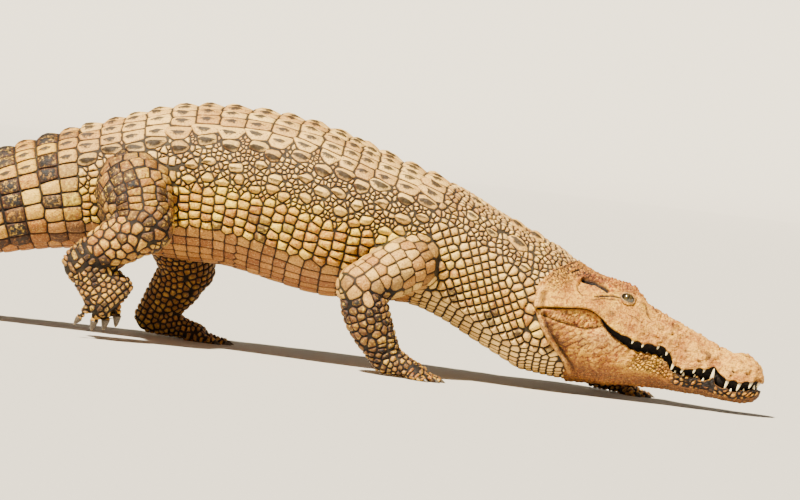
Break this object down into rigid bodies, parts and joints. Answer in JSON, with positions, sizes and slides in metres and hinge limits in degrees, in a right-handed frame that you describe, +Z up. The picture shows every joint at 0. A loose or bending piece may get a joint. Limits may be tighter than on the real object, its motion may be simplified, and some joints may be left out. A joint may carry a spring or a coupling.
{
  "type": "nile crocodile",
  "caption": "Life-size still crocodile in a striding high walk, head held low and jaws slightly parted, tail laid on the floor behind.",
  "frame": {"origin": "centre of the animal's box, on the floor that its feet and tail stand on", "axes": "+X the way the animal faces, +Y its left side, +Z up"},
  "size_m": [4.1064, 0.8054, 0.6806],
  "materials": {
    "face_hide": "bony, close-fitting scaled hide of the head, tan and cream with brown creases, satin",
    "back_hide": "scaled hide of neck, trunk and tail: grey-tan keeled plates above, yellow ochre sides with dark seams, pinkish buff belly, satin",
    "limb_hide": "scaled hide of the legs and feet, ochre and brown, satin",
    "eye": "wet, glossy olive bronze eye with an upright slit pupil",
    "tooth_and_claw": "ivory teeth and dark horn claws, semi-gloss"
  },
  "bodies": {
    "root": {"head": "face_hide", "lower_jaw": "face_hide", "right_eye": "eye", "left_eye": "eye", "neck": "back_hide", "belly": "back_hide", "hips": "back_hide", "tail_base": "back_hide", "tail_middle": "back_hide", "tail_rear": "back_hide", "tail_tip": "back_hide", "right_fore_upper_arm": "limb_hide", "right_fore_forearm": "limb_hide", "right_fore_hand": "limb_hide", "right_hind_thigh": "limb_hide", "right_hind_shank": "limb_hide", "right_hind_foot": "limb_hide", "left_fore_upper_arm": "limb_hide", "left_fore_forearm": "limb_hide", "left_fore_hand": "limb_hide", "left_hind_thigh": "limb_hide", "left_hind_shank": "limb_hide", "left_hind_foot": "limb_hide"}
  },
  "joints": []
}
